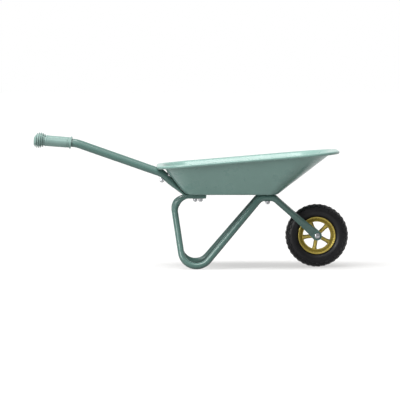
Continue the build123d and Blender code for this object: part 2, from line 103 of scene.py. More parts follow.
class Workpiece:
    """One mesh on the bench, with short calls for the operators that shape it."""

    def __init__(self, name: str) -> None:
        """Take the primitive that was added last.

        Args:
            name: The piece's name, from now on.
        """
        self.obj = bpy.context.active_object
        self.obj.name = name
        self.obj.data.name = name
        bpy.ops.object.transform_apply(location=True, rotation=True, scale=True)

    @classmethod
    def plate(cls, name: str, length: float, width: float, centre: Vector) -> "Workpiece":
        """A flat rectangle in the horizontal plane.

        Args:
            name: The piece's name.
            length: Its size along X.
            width: Its size along Y.
            centre: Its middle.

        Returns:
            The new workpiece.
        """
        deselect_all()
        bpy.ops.mesh.primitive_plane_add(size=1, location=centre)
        bpy.context.active_object.scale = (length, width, 1)
        return cls(name)

    @classmethod
    def block(cls, name: str, size: Sequence[float], centre: Vector) -> "Workpiece":
        """A box to be shaped further.

        Args:
            name: The piece's name.
            size: Its three side lengths.
            centre: Its middle.

        Returns:
            The new workpiece.
        """
        deselect_all()
        bpy.ops.mesh.primitive_cube_add(size=1, location=centre)
        bpy.context.active_object.scale = size
        return cls(name)

    @classmethod
    def turned(
        cls,
        name: str,
        profile: Sequence[Pair],
        origin: Vector,
        axis: Vector,
        steps: int,
        closed: bool = False,
    ) -> "Workpiece":
        """A shape turned on a lathe: a chain of edges spun about an axis.

        Args:
            name: The piece's name.
            profile: Points (distance along the axis, radius) in order.
            origin: The point on the axis that distances are measured from.
            axis: The axis's direction.
            steps: How many steps make the full turn.
            closed: Whether the last point joins the first.

        Returns:
            The new workpiece.
        """
        axis = axis.normalized()
        out = axis.orthogonal().normalized()
        points = [origin + axis * along + out * radius for along, radius in profile]
        if closed:
            points.append(points[0])
        deselect_all()
        bpy.ops.mesh.primitive_plane_add(size=MM, location=points[0])
        piece = cls(name)
        with piece.editing():
            bpy.ops.mesh.select_all(action="SELECT")
            bpy.ops.mesh.merge(type="CENTER")
            for before, after in zip(points, points[1:]):
                bpy.ops.mesh.extrude_region_move(TRANSFORM_OT_translate={"value": after - before})
            bpy.ops.mesh.select_all(action="SELECT")
            bpy.ops.mesh.spin(steps=steps, angle=math.tau, center=origin, axis=axis)
            piece.close_seams()
        return piece

    def activate(self) -> None:
        """Make this the active object and the only one selected."""
        deselect_all()
        self.obj.select_set(True)
        bpy.context.view_layer.objects.active = self.obj

    @contextmanager
    def editing(self) -> Iterator[None]:
        """Edit mode on this piece alone, for the length of a with block."""
        self.activate()
        bpy.ops.object.mode_set(mode="EDIT")
        bpy.ops.mesh.select_mode(type="VERT")
        try:
            yield
        finally:
            bpy.ops.object.mode_set(mode="OBJECT")

    def close_seams(self) -> None:
        """In edit mode: weld what meets and turn every face outwards."""
        bpy.ops.mesh.select_all(action="SELECT")
        bpy.ops.mesh.remove_doubles(threshold=WELD_GAP)
        bpy.ops.mesh.normals_make_consistent(inside=False)

    def pick(self, kind: str, test: Callable[[Vector], bool]) -> None:
        """In edit mode: select the vertices or the faces whose place passes a test.

        Args:
            kind: VERT or FACE.
            test: Says of a vertex's place or a face's middle whether it is wanted.
        """
        bpy.ops.mesh.select_all(action="DESELECT")
        bpy.ops.mesh.select_mode(type=kind)
        mesh = bmesh.from_edit_mesh(self.obj.data)
        if kind == "FACE":
            for face in mesh.faces:
                face.select_set(test(face.calc_center_median()))
        else:
            for vertex in mesh.verts:
                vertex.select_set(test(vertex.co))
            mesh.select_flush_mode()
        bmesh.update_edit_mesh(self.obj.data)

    def modify(self, kind: str, **settings: object) -> None:
        """Add a modifier and apply it at once.

        Args:
            kind: The modifier's type, such as BEVEL.
            **settings: Its properties by name.
        """
        self.activate()
        modifier = self.obj.modifiers.new(kind.lower(), kind)
        for name, value in settings.items():
            setattr(modifier, name, value)
        bpy.ops.object.modifier_apply(modifier=modifier.name)

    def soften(self, width: float, segments: int = 2, angle: float = 30.0) -> None:
        """Round every edge that is sharper than an angle.

        Args:
            width: The rounding's width.
            segments: How many strips make it.
            angle: The least fold that is rounded, in degrees.
        """
        self.modify(
            "BEVEL",
            width=width,
            segments=segments,
            limit_method="ANGLE",
            angle_limit=math.radians(angle),
            use_clamp_overlap=True,
        )

    def smooth(self, angle: float = 35.0) -> None:
        """Shade smoothly, keeping the edges that are sharper than an angle.

        Args:
            angle: The fold, in degrees, past which an edge stays crisp.
        """
        self.activate()
        bpy.ops.object.shade_smooth_by_angle(angle=math.radians(angle))

    def copy_turned(self, name: str, turn: Matrix) -> "Workpiece":
        """A copy with its own mesh, moved by a matrix.

        Args:
            name: The copy's name.
            turn: The rigid motion that places it.

        Returns:
            The copy.
        """
        self.activate()
        bpy.ops.object.duplicate(linked=False)
        bpy.context.active_object.matrix_world = turn @ bpy.context.active_object.matrix_world
        return Workpiece(name)

    def take_in(self, others: Sequence["Workpiece"]) -> None:
        """Join other workpieces into this one.

        Args:
            others: The pieces that become part of this one.
        """
        self.activate()
        for other in others:
            other.obj.select_set(True)
        bpy.ops.object.join()

    def finish(
        self, body: Body, material: Material, slot: str, nodes: Sequence[str]
    ) -> None:
        """Dress the piece and fix it to its body in place of CAD nodes.

        Args:
            body: The body that it moves with.
            material: Its finish.
            slot: The record's material slot; not used.
            nodes: The CAD nodes that it stands for.
        """
        self.obj.data.materials.clear()
        self.obj.data.materials.append(material)
        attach(self.obj, body.value)
        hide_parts(*nodes)
        self.obj.data.calc_loop_triangles()
        triangles = len(self.obj.data.loop_triangles)
        log.info("%s: %d triangles on %s", self.obj.name, triangles, body.value)


def arc(
    centre: Pair, radius: float, start: float, end: float, steps: int
) -> Profile:
    """Points along an arc of a profile.

    Args:
        centre: The arc's centre.
        radius: Its radius.
        start: Its first angle in degrees.
        end: Its last angle in degrees.
        steps: How many chords it is cut into.

    Returns:
        The points from start to end.
    """
    angles = (math.radians(start + (end - start) * step / steps) for step in range(steps + 1))
    return [(centre[0] + radius * math.cos(a), centre[1] + radius * math.sin(a)) for a in angles]


def scaled(profile: Sequence[Pair]) -> Profile:
    """A profile given in millimetres, in metres."""
    return [(along * MM, radius * MM) for along, radius in profile]


# ---- finishes


class Recipe:
    """A material's node tree under construction, on the piece's own Object coordinates."""

    def __init__(self, name: str) -> None:
        """Start from a bare Principled shader.

        Args:
            name: The material's name.
        """
        self.material = bpy.data.materials.new(name)
        self.material.use_nodes = True
        self.tree = self.material.node_tree
        self.shader = self.tree.nodes["Principled BSDF"]
        self.place = self.add("ShaderNodeTexCoord").outputs["Object"]

    def add(self, kind: str, **settings: object) -> bpy.types.Node:
        """Add a node.

        Args:
            kind: The node's type.
            **settings: Properties by name, or inputs by name with underscores for spaces.

        Returns:
            The node.
        """
        node = self.tree.nodes.new(kind)
        for name, value in settings.items():
            if hasattr(node, name):
                setattr(node, name, value)
            else:
                node.inputs[name.replace("_", " ")].default_value = value
        return node

    def link(self, source: Socket, target: Socket) -> None:
        """Join an output to an input."""
        self.tree.links.new(source, target)

    def noise(self, size: float, detail: float = 3.0, rough: float = 0.5) -> Socket:
        """Cloudy noise over the surface.

        Args:
            size: The size of its blotches in metres.
            detail: How many finer layers it has.
            rough: How strong the finer layers are.

        Returns:
            The value, from 0 to 1.
        """
        node = self.add("ShaderNodeTexNoise", Scale=1.0 / size, Detail=detail, Roughness=rough)
        self.link(self.place, node.inputs["Vector"])
        return node.outputs["Fac"]

    def cells(self, size: float) -> Socket:
        """Distance to the nearest of scattered points.

        Args:
            size: The points' spacing in metres.

        Returns:
            The distance value.
        """
        node = self.add("ShaderNodeTexVoronoi", Scale=1.0 / size)
        self.link(self.place, node.inputs["Vector"])
        return node.outputs["Distance"]

    def distance_across(self) -> Socket:
        """The distance from the middle plane between the barrow's sides, in metres.

        Returns:
            The distance value.
        """
        parts = self.add("ShaderNodeSeparateXYZ")
        self.link(self.place, parts.inputs["Vector"])
        size = self.add("ShaderNodeMath", operation="ABSOLUTE")
        self.link(parts.outputs["Y"], size.inputs[0])
        return size.outputs[0]

    def spread(
        self, value: Socket, low: float, high: float, span: Pair
    ) -> Socket:
        """Stretch part of a value's range over another range.

        Args:
            value: What is stretched.
            low: The result at the span's start.
            high: The result at the span's end.
            span: The stretch of the value that matters.

        Returns:
            The new value.
        """
        node = self.add("ShaderNodeMapRange")
        for name, number in zip(("From Min", "From Max", "To Min", "To Max"), (*span, low, high)):
            node.inputs[name].default_value = number
        self.link(value, node.inputs["Value"])
        return node.outputs["Result"]

    def tints(
        self, value: Socket, stops: Sequence[tuple[float, Sequence[float]]]
    ) -> Socket:
        """Colours along a value.

        Args:
            value: What chooses the colour.
            stops: Pairs of a position from 0 to 1 and a linear RGB colour.

        Returns:
            The colour.
        """
        node = self.add("ShaderNodeValToRGB")
        ramp = node.color_ramp
        while len(ramp.elements) < len(stops):
            ramp.elements.new(0.5)
        for element, (position, colour) in zip(ramp.elements, stops):
            element.position = position
            element.color = (*colour, 1.0)
        self.link(value, node.inputs["Fac"])
        return node.outputs["Color"]

    def mottled(
        self,
        colour: Sequence[float],
        cloud: Socket,
        tones: Sequence[Pair],
    ) -> Socket:
        """A colour made darker and lighter along a value.

        Args:
            colour: The linear RGB colour.
            cloud: What chooses the tone.
            tones: Pairs of a position from 0 to 1 and the colour's factor there.

        Returns:
            The varied colour.
        """
        return self.tints(cloud, [(position, shade(colour, tone)) for position, tone in tones])

    def blend(
        self, share: Socket, under: Socket, over: Sequence[float]
    ) -> Socket:
        """Lay a colour over another by a varying share.

        Args:
            share: How much of the upper colour shows.
            under: The lower colour.
            over: The upper linear RGB colour.

        Returns:
            The blended colour.
        """
        node = self.add("ShaderNodeMix", data_type="RGBA")
        node.inputs[7].default_value = (*over, 1.0)
        self.link(share, node.inputs[0])
        self.link(under, node.inputs[6])
        return node.outputs[2]

    def relief(self, layers: Sequence[tuple[Socket, float, float]]) -> None:
        """Give the surface fine bumps.

        Args:
            layers: Heights from 0 to 1, each with its full height in metres and its strength.
        """
        normal = None
        for height, distance, strength in layers:
            bump = self.add("ShaderNodeBump", Distance=distance, Strength=strength)
            self.link(height, bump.inputs["Height"])
            if normal is not None:
                self.link(normal, bump.inputs["Normal"])
            normal = bump.outputs["Normal"]
        self.link(normal, self.shader.inputs["Normal"])

    def colour(self, source: Socket) -> None:
        """Drive the base colour."""
        self.link(source, self.shader.inputs["Base Color"])

    def uneven_gloss(self, size: float, detail: float, low: float, high: float) -> None:
        """Let the roughness drift between two values.

        Args:
            size: The size of its patches in metres.
            detail: How many finer layers it has.
            low: The least roughness.
            high: The greatest roughness.
        """
        rough = self.spread(self.noise(size, detail), low, high, (0.3, 0.7))
        self.link(rough, self.shader.inputs["Roughness"])

    def fix(self, **values: object) -> None:
        """Set sockets of the shader that are the same all over.

        Args:
            **values: Values by socket name, with underscores for spaces.
        """
        for name, value in values.items():
            self.shader.inputs[name.replace("_", " ")].default_value = value


def shade(colour: Sequence[float], factor: float) -> tuple[float, ...]:
    """A colour made darker or lighter by a factor."""
    return tuple(min(1.0, part * factor) for part in colour)


@dataclass(frozen=True)
class SteelPaint:
    """Baked semi-gloss paint on steel: slight orange peel, faint dust, soft tone changes."""

    name: str
    colour: Triple
    gloss: Pair = (0.24, 0.36)
    peel: float = 2.2 * MM
    dust: float = 0.05

    def make(self) -> Material:
        """Build the material.

        Returns:
            The material, ready to be put on a piece.
        """
        recipe = Recipe(self.name)
        cloud = recipe.noise(90 * MM, 4)
        base = recipe.mottled(self.colour, cloud, [(0.25, 0.93), (0.75, 1.06)])
        film = recipe.spread(recipe.noise(16 * MM, 6, 0.65), 0.0, self.dust, (0.52, 0.78))
        dusty = recipe.blend(film, base, shade(self.colour, 1.7))
        specks = recipe.spread(recipe.cells(2.4 * MM), 0.1, 0.0, (0.05, 0.11))
        recipe.colour(recipe.blend(specks, dusty, shade(self.colour, 0.55)))
        recipe.uneven_gloss(28 * MM, 5, *self.gloss)
        recipe.relief(
            [
                (recipe.noise(self.peel, 2), 0.05 * MM, 0.35),
                (recipe.noise(0.35 * MM, 1), 0.01 * MM, 0.25),
            ]
        )
        recipe.fix(Specular_IOR_Level=0.45, Coat_Weight=0.15, Coat_Roughness=0.12)
        return recipe.material


@dataclass(frozen=True)
class SoftGrip:
    """Satin moulded grip rubber with a fine grain."""

    name: str = "satin_green_grip"
    colour: Triple = (0.158, 0.250, 0.226)

    def make(self) -> Material:
        """Build the material.

        Returns:
            The material, ready to be put on a piece.
        """
        recipe = Recipe(self.name)
        cloud = recipe.noise(22 * MM, 5, 0.6)
        base = recipe.mottled(self.colour, cloud, [(0.3, 0.9), (0.7, 1.08)])
        handled = recipe.spread(recipe.noise(6 * MM, 6, 0.7), 0.0, 0.3, (0.55, 0.8))
        recipe.colour(recipe.blend(handled, base, shade(self.colour, 0.72)))
        recipe.uneven_gloss(9 * MM, 4, 0.36, 0.52)
        recipe.relief(
            [
                (recipe.cells(0.7 * MM), 0.06 * MM, 0.35),
                (recipe.noise(0.4 * MM, 2), 0.03 * MM, 0.3),
            ]
        )
        recipe.fix(Specular_IOR_Level=0.45, Sheen_Weight=0.08, Sheen_Roughness=0.4)
        return recipe.material


@dataclass(frozen=True)
class GoldMoulding:
    """Olive gold moulded plastic, with painted highlights on its ridges and flanges and painted
    shade in its hollows.

    The painted light and shade go by the distance from the wheel's middle plane, as a share of the
    half width.
    """

    name: str = "olive_gold_moulding"
    colour: Triple = (0.52, 0.41, 0.085)
    half_width: float = 16.0 * MM
    # Colour factors by the share across the wheel: painted shade in the hollows, painted highlights
    # on the spoke ridges and flanges.
    tones: tuple[Pair, ...] = (
        (0.10, 0.50),
        (0.31, 0.62),
        (0.36, 1.10),
        (0.41, 1.05),
        (0.48, 0.66),
        (0.76, 0.84),
        (0.88, 1.15),
    )

    def make(self) -> Material:
        """Build the material.

        Returns:
            The material, ready to be put on a piece.
        """
        recipe = Recipe(self.name)
        across = recipe.spread(recipe.distance_across(), 0.0, 1.0, (0.0, self.half_width))
        # Painted light and shade: the colour is darkened in the hollows and lightened on the spoke
        # ridges and flanges.
        painted_light_and_shade = recipe.mottled(self.colour, across, self.tones)
        blotch = recipe.spread(recipe.noise(14 * MM, 5, 0.6), 0.3, 0.0, (0.3, 0.7))
        base = recipe.blend(blotch, painted_light_and_shade, shade(self.colour, 0.72))
        flecks = recipe.spread(recipe.cells(0.9 * MM), 0.35, 0.0, (0.08, 0.3))
        recipe.colour(recipe.blend(flecks, base, shade(self.colour, 1.5)))
        recipe.uneven_gloss(7 * MM, 4, 0.26, 0.42)
        recipe.relief([(recipe.noise(1.1 * MM, 3), 0.04 * MM, 0.4)])
        recipe.fix(Metallic=0.55, Specular_IOR_Level=0.6)
        return recipe.material


@dataclass(frozen=True)
class TyreRubber:
    """Black rubber with a mottled bloom, fine grain and a little dust."""

    name: str = "black_tyre_rubber"
    colour: Triple = (0.0055, 0.0055, 0.0068)

    def make(self) -> Material:
        """Build the material.

        Returns:
            The material, ready to be put on a piece.
        """
        recipe = Recipe(self.name)
        cloud = recipe.noise(26 * MM, 6, 0.6)
        base = recipe.mottled(self.colour, cloud, [(0.3, 0.7), (0.72, 1.35)])
        bloom = recipe.spread(recipe.noise(4 * MM, 6, 0.7), 0.0, 0.3, (0.54, 0.8))
        recipe.colour(recipe.blend(bloom, base, (0.019, 0.018, 0.020)))
        recipe.uneven_gloss(8 * MM, 5, 0.34, 0.48)
        recipe.relief(
            [
                (recipe.noise(1.6 * MM, 4, 0.6), 0.12 * MM, 0.4),
                (recipe.cells(0.5 * MM), 0.04 * MM, 0.3),
            ]
        )
        recipe.fix(Specular_IOR_Level=0.30)
        return recipe.material


@dataclass(frozen=True)
class ZincPlate:
    """Bright zinc plate with fine tool marks and dull patches."""

    name: str = "bright_zinc_plate"
    colour: Triple = (0.50, 0.51, 0.53)

    def make(self) -> Material:
        """Build the material.

        Returns:
            The material, ready to be put on a piece.
        """
        recipe = Recipe(self.name)
        cloud = recipe.noise(3 * MM, 5, 0.65)
        recipe.colour(recipe.mottled(self.colour, cloud, [(0.3, 0.78), (0.7, 1.1)]))
        recipe.uneven_gloss(1.4 * MM, 5, 0.2, 0.42)
        recipe.relief([(recipe.noise(0.3 * MM, 3), 0.02 * MM, 0.4)])
        recipe.fix(Metallic=1.0)
        return recipe.material


@dataclass(frozen=True)
class Nylon:
    """Natural nylon, milky and slightly waxy."""

    name: str = "natural_nylon"
    colour: Triple = (0.74, 0.73, 0.68)

    def make(self) -> Material:
        """Build the material.

        Returns:
            The material, ready to be put on a piece.
        """
        recipe = Recipe(self.name)
        cloud = recipe.noise(5 * MM, 4)
        recipe.colour(recipe.mottled(self.colour, cloud, [(0.3, 0.9), (0.7, 1.05)]))
        recipe.uneven_gloss(2 * MM, 3, 0.35, 0.5)
        recipe.relief([(recipe.noise(0.5 * MM, 2), 0.02 * MM, 0.3)])
        return recipe.material


# ---- tray


@dataclass
class Tray:
    """The pressed steel tray: flat floor, flared walls and a rolled edge all round."""

    paint: Material
    floor_rear: float = -16.0 * MM
    floor_length: float = 232.8 * MM
    floor_width: float = 200.0 * MM
    floor_corner: float = 26.0 * MM
    mouth_width: float = 338.0 * MM
    rear_depth: float = 70.5 * MM
    rear_reach: float = 55.8 * MM
    front_reach: float = 142.5 * MM
    mouth_rise: float = 4.8
    rear_corner: float = 66.0 * MM
    front_corner: float = 96.0 * MM
    sheet: float = 1.6 * MM
    bead_radius: float = 4.0 * MM
    lip_width: float = 12.0 * MM
    bend: float = 4.6 * MM
    bend_steps: int = 6
    least_fold: float = 27.0
    least_wall: float = 20.0 * MM
    roll_span: Pair = (90.0, -215.0)
    roll_steps: int = 14
    corner_steps: int = 18

    def rounded_plate(self, name: str, size: Pair, centre: Vector, corners: Pair) -> Workpiece:
        """A flat plate with its own corner radii behind and in front.

        Args:
            name: The piece's name.
            size: Its length and width.
            centre: Its middle.
            corners: The rear and the front radius.

        Returns:
            The plate, as one face.
        """
        plate = Workpiece.plate(name, size[0], size[1], centre)
        with plate.editing():
            for end, radius in zip((-1, 1), corners):
                edge = centre.x + end * size[0] / 2
                plate.pick("VERT", lambda p, edge=edge: abs(p.x - edge) < PLACE_GAP)
                bpy.ops.mesh.bevel(
                    offset=radius, affect="VERTICES", segments=self.corner_steps, profile=0.5
                )
        return plate

    def mouth(self) -> Workpiece:
        """The lip, flat on its plane, with its rolled edge: a curled section run round it.

        Returns:
            The lip and its edge as one open sheet, in place.
        """
        rise = math.radians(self.mouth_rise)
        length = (self.rear_reach + self.floor_length + self.front_reach) / math.cos(rise)
        grow = self.lip_width
        middle = Vector((length / 2, 0, 0))
        size = (length + 2 * grow, self.mouth_width + 2 * grow)
        corners = (self.rear_corner + grow, self.front_corner + grow)
        lip = self.rounded_plate("lip", size, middle, corners)
        curl = self.rolled_edge(size, middle, corners)
        with lip.editing():
            bpy.ops.mesh.select_all(action="SELECT")
            bpy.ops.mesh.inset(thickness=grow, use_even_offset=True)
            bpy.ops.mesh.delete(type="ONLY_FACE")
        lip.take_in([curl])
        under_bead = self.bead_radius - self.sheet
        start_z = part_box("tray")[0].z + self.rear_depth
        start = Vector((self.floor_rear - self.rear_reach, 0, start_z))
        tilt = Matrix.Rotation(-rise, 4, "Y")
        raise_lip = Matrix.Translation((0, 0, under_bead))
        lip.obj.matrix_world = Matrix.Translation(start) @ tilt @ raise_lip
        lip.activate()
        bpy.ops.object.transform_apply(location=True, rotation=True, scale=True)
        return lip

    def rolled_edge(
        self, size: Pair, centre: Vector, corners: Pair
    ) -> Workpiece:
        """The edge's curl: an open circular section swept round the lip's outline.

        Args:
            size: The outline's length and width.
            centre: Its middle.
            corners: Its rear and front radii.

        Returns:
            The curl as a thin surface.
        """
        run = self.rounded_plate("rolled_edge", size, centre, corners)
        with run.editing():
            bpy.ops.mesh.select_all(action="SELECT")
            bpy.ops.mesh.delete(type="ONLY_FACE")
        roll = self.bead_radius - self.sheet
        section = bpy.data.curves.new("roll_section", "CURVE")
        section.dimensions = "2D"
        spline = section.splines.new("POLY")
        points = arc((0, -roll), roll, *self.roll_span, self.roll_steps)
        spline.points.add(len(points) - 1)
        for point, (across, up) in zip(spline.points, points):
            point.co = (across, up, 0, 1)
        section_object = bpy.data.objects.new("roll_section", section)
        bpy.context.scene.collection.objects.link(section_object)
        run.activate()
        bpy.ops.object.convert(target="CURVE")
        path = bpy.context.active_object
        path.data.dimensions = "3D"
        path.data.twist_mode = "Z_UP"
        path.data.bevel_mode = "OBJECT"
        path.data.bevel_object = section_object
        bpy.ops.object.convert(target="MESH")
        bpy.data.objects.remove(section_object)
        return Workpiece("rolled_edge")

    def build(self) -> None:
        """Bridge the floor to the lip, round the folds and give the sheet its thickness."""
        floor_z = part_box("tray")[0].z
        centre = Vector((self.floor_rear + self.floor_length / 2, 0, floor_z))
        corners = (self.floor_corner, self.floor_corner)
        size = (self.floor_length, self.floor_width)
        tray = self.rounded_plate("steel_tray", size, centre, corners)
        lip = self.mouth()
        lip_outline = self.inner_loop_test(floor_z)
        tray.take_in([lip])
        with tray.editing():
            bpy.ops.mesh.select_all(action="SELECT")
            bpy.ops.mesh.remove_doubles(threshold=JOIN_GAP)
            tray.pick("VERT", lambda p: abs(p.z - floor_z) < PLACE_GAP or lip_outline(p))
            self.drop_floor_face_selection(tray)
            bpy.ops.mesh.bridge_edge_loops(number_cuts=5, interpolation="LINEAR")
            bpy.ops.mesh.select_all(action="DESELECT")
            bpy.ops.mesh.select_mode(type="EDGE")
            bpy.ops.mesh.edges_select_sharp(sharpness=math.radians(self.least_fold))
            tray.obj.update_from_editmode()
            bpy.ops.mesh.bevel(
                offset=self.bend, segments=self.bend_steps, profile=0.5, affect="EDGES"
            )
            bpy.ops.mesh.select_all(action="SELECT")
            bpy.ops.mesh.normals_make_consistent(inside=False)
        self.face_outwards(tray, floor_z)
        tray.modify("SOLIDIFY", thickness=self.sheet, offset=-1.0, use_even_offset=True)
        tray.smooth(50)
        tray.finish(Body.FRAME, self.paint, "green_paint_tray", ["tray"])

    def inner_loop_test(self, floor_z: float) -> Callable[[Vector], bool]:
        """A test for places on the lip's inner outline.

        Args:
            floor_z: The height of the tray's underside.

        Returns:
            A function that says whether a place is on that outline.
        """
        rise = math.radians(self.mouth_rise)
        start = Vector((self.floor_rear - self.rear_reach, 0, floor_z + self.rear_depth))
        length = (self.rear_reach + self.floor_length + self.front_reach) / math.cos(rise)
        half = self.mouth_width / 2

        def on_outline(place: Vector) -> bool:
            """Whether a place lies on the outline, within its gap.

            Args:
                place: Where a vertex is.

            Returns:
                True on the outline.
            """
            on_wall = place.z > floor_z + self.least_wall
            along = (place.x - start.x) * math.cos(rise) + (place.z - start.z) * math.sin(rise)
            for near, end, radius in ((0.0, 1, self.rear_corner), (length, -1, self.front_corner)):
                ahead = (along - near) * end
                if ahead < radius and abs(place.y) > half - radius:
                    away = math.hypot(radius - ahead, abs(place.y) - (half - radius))
                    return on_wall and abs(away - radius) < OUTLINE_GAP
                if abs(ahead) < OUTLINE_GAP and on_wall:
                    return True
            return abs(abs(place.y) - half) < OUTLINE_GAP

        return on_outline

    def drop_floor_face_selection(self, tray: Workpiece) -> None:
        """In edit mode: keep only the two outlines' edges selected, not the floor's face.

        Args:
            tray: The shell being bridged.
        """
        bpy.ops.mesh.select_mode(type="EDGE")
        mesh = bmesh.from_edit_mesh(tray.obj.data)
        for edge in mesh.edges:
            edge.select_set(edge.select and all(v.select for v in edge.verts))
        bmesh.update_edit_mesh(tray.obj.data)

    def face_outwards(self, tray: Workpiece, floor_z: float) -> None:
        """Turn the sheet so that its faces look out of the bowl.

        Args:
            tray: The open shell.
            floor_z: The height of its floor.
        """
        faces = tray.obj.data.polygons
        down = [face.normal.z for face in faces if abs(face.center.z - floor_z) < PLACE_GAP]
        if down and down[0] > 0:
            with tray.editing():
                bpy.ops.mesh.select_all(action="SELECT")
                bpy.ops.mesh.flip_normals()


# ---- handle grips


@dataclass
class Grip:
    """A moulded handle grip: ribbed bulb at its closed end, plain body, collar and flange."""

    rubber: Material
    slope: float = 4.6
    splay: float = 3.4
    length: float = 94.0
    body_radius: float = 11.0
    bulb_radius: float = 17.2
    bulb_peak: float = 12.0
    bulb_length: float = 34.0
    end_radius: float = 10.5
    flange_radius: float = 13.4
    flange_thickness: float = 3.4
    rib_count: int = 5
    rib_start: float = 2.6
    rib_pitch: float = 4.9
    rib_share: float = 0.54
    groove_depth: float = 4.6
    groove_below_body: float = 0.9
    collar_length: float = 8.0
    collar_pitch: float = 2.6
    collar_groove: float = 0.7
    collar_rings: int = 3
    bore_radius: float = 8.2
    turn_steps: int = 72

    def bulb_height(self, along: float) -> float:
        """The bulb's smooth radius, in millimetres.

        Args:
            along: The distance from the closed end.

        Returns:
            The radius there.
        """
        if along <= self.bulb_peak:
            share = 1 - along / self.bulb_peak
            drop = self.bulb_radius - self.end_radius
            return self.bulb_radius - drop * share**2.4
        share = min(1.0, (along - self.bulb_peak) / (self.bulb_length - self.bulb_peak))
        fall = (1 - math.cos(math.pi * share)) / 2
        return self.bulb_radius - (self.bulb_radius - self.body_radius) * fall

    def profile(self) -> Profile:
        """The grip's outline from the middle of its closed end to the tube beside its flange.

        Returns:
            Points (distance from the closed end, radius), in millimetres.
        """
        points = [(0.0, 0.0), (0.0, self.end_radius - 2.5)]
        points += arc((1.6, self.end_radius - 1.6), 1.6, 180, 105, 3)
        for rib in range(self.rib_count):
            points += self.rib(self.rib_start + rib * self.rib_pitch)
        rib_end = self.rib_start + self.rib_count * self.rib_pitch
        rest = (2.0, 4.0, 6.5)
        points += [(rib_end + step, self.bulb_height(rib_end + step)) for step in rest]
        inner = self.length - self.flange_thickness
        collar_floor = self.body_radius - self.collar_groove
        for ring in range(self.collar_rings):
            at = inner - self.collar_length + ring * self.collar_pitch
            points += [(at, self.body_radius), (at + 0.35, collar_floor)]
            points += [(at + 0.95, collar_floor), (at + 1.3, self.body_radius)]
        points += [(inner, self.body_radius), (inner + 0.3, self.body_radius + 0.6)]
        tip = self.flange_radius - 1.1
        points += arc((inner + 1.2, tip), 1.1, 170, 90, 3)
        points += arc((self.length - 1.2, tip), 1.1, 90, 0, 3)
        points += [(self.length, self.bore_radius + 1.0)]
        return points + [(self.length - back, self.bore_radius) for back in (1.2, 4.0)]

    def rib(self, start: float) -> Profile:
        """One rounded rib and the groove after it.

        Args:
            start: Where the rib begins.

        Returns:
            Its points.
        """
        pitch = self.rib_pitch
        width = pitch * self.rib_share
        shares = ((0.0, 0.55), (0.12, 0.12), (0.5, 0.0), (0.88, 0.12), (1.0, 0.55))
        top = [
            (start + width * share, self.bulb_height(start + width * share) - sink)
            for share, sink in shares
        ]
        bottom = self.bulb_height(start + (width + pitch) / 2) - self.groove_depth
        bottom = max(bottom, self.body_radius - self.groove_below_body)
        gap = pitch - width
        return top + [(start + width + gap * 0.18, bottom), (start + pitch - gap * 0.18, bottom)]

    def build(self, side: Side) -> None:
        """Turn the grip on its handle's axis.

        Args:
            side: Which handle it is on.
        """
        low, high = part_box(f"grip_{side.label}")
        slope, splay = math.radians(self.slope), math.radians(self.splay)
        outward = Vector((-1, side.value * math.tan(splay), math.tan(slope))).normalized()
        lean_y = self.bulb_radius * MM * math.sqrt(1 - outward.y**2)
        lean_z = self.bulb_radius * MM * math.sqrt(1 - outward.z**2)
        outer_y = high.y if side is Side.LEFT else low.y
        peak_y = outer_y - side.value * lean_y
        peak_z = high.z - lean_z
        end_x = low.x + self.end_radius * MM * math.sqrt(1 - outward.x**2)
        peak = Vector((end_x + self.bulb_peak * MM, peak_y, peak_z))
        end = peak + outward * ((end_x - peak.x) / outward.x)
        grip = Workpiece.turned(
            f"handle_grip_{side.label}", scaled(self.profile()), end, -outward, self.turn_steps
        )
        grip.smooth(38)
        grip.finish(Body.FRAME, self.rubber, "green_grip", [f"grip_{side.label}"])


# ---- wheel


